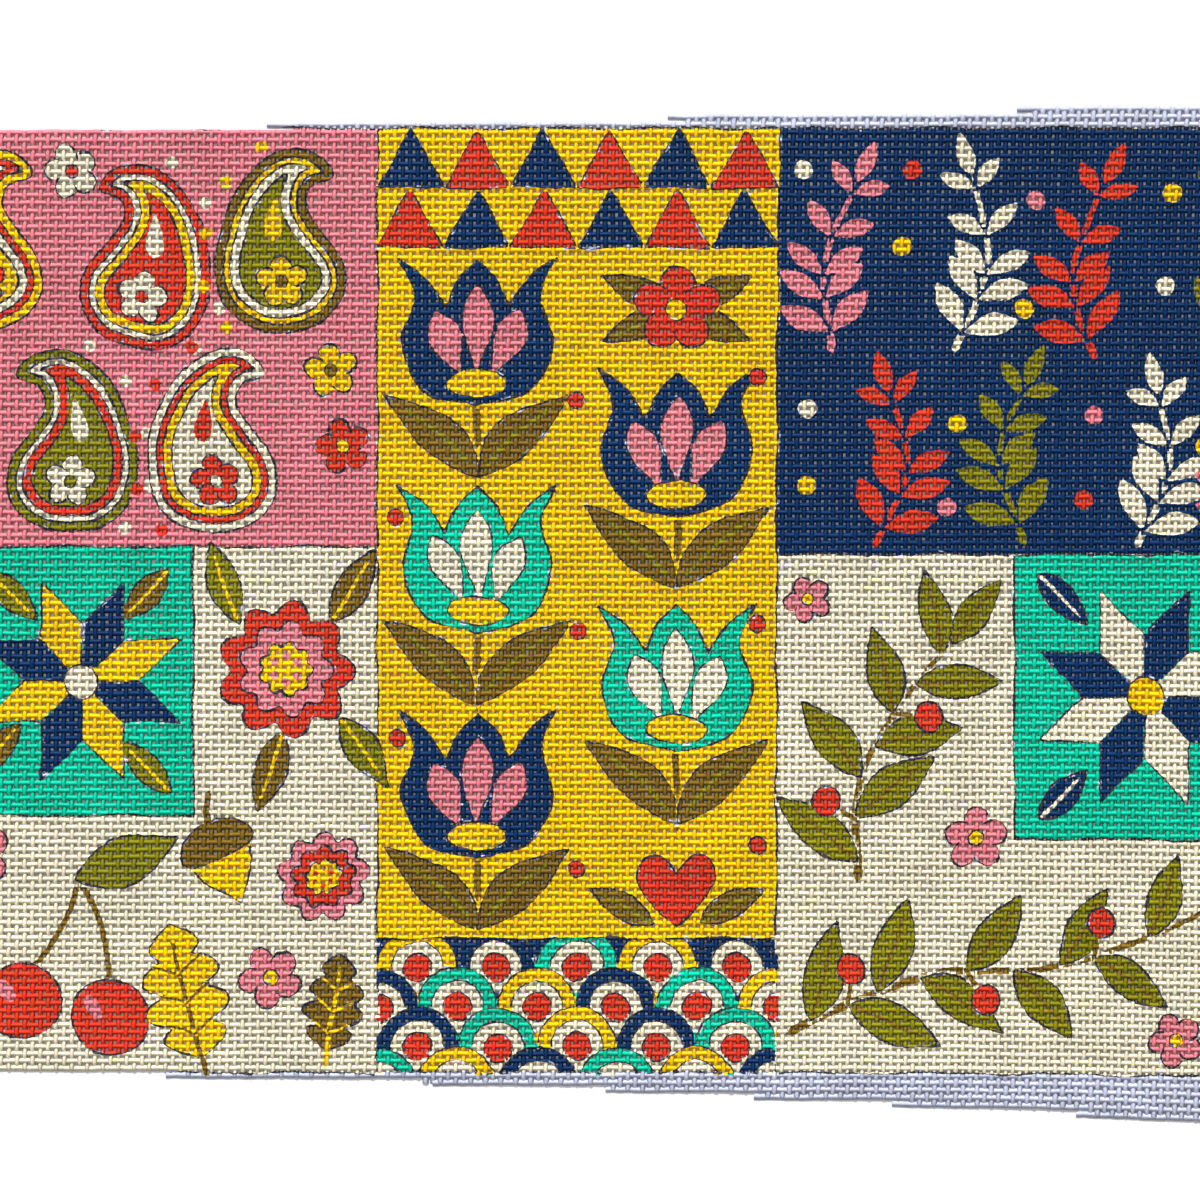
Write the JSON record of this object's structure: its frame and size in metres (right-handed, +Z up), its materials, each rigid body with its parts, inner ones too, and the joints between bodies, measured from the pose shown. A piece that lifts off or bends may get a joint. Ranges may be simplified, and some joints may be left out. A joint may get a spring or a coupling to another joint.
{
  "type": "hand-painted needlepoint canvas panel",
  "caption": "Flat panel of plain-woven needlepoint canvas, painted with a patchwork design for stitching and cut slightly askew along its two long edges.",
  "frame": {"origin": "on the surface that the panel lies on, under the middle of the outline's bounding box", "axes": "+X along the painted rows to the right, +Y to the top of the design, +Z up out of the painted face"},
  "size_m": [0.3762, 0.269, 0.001],
  "materials": {
    "painted_canvas": "open plain weave of stiff cotton thread, painted by hand in matt to slightly glossy acrylic colours, bare and bluish white at its margins"
  },
  "bodies": {
    "root": {"canvas_panel": "painted_canvas"}
  },
  "joints": []
}
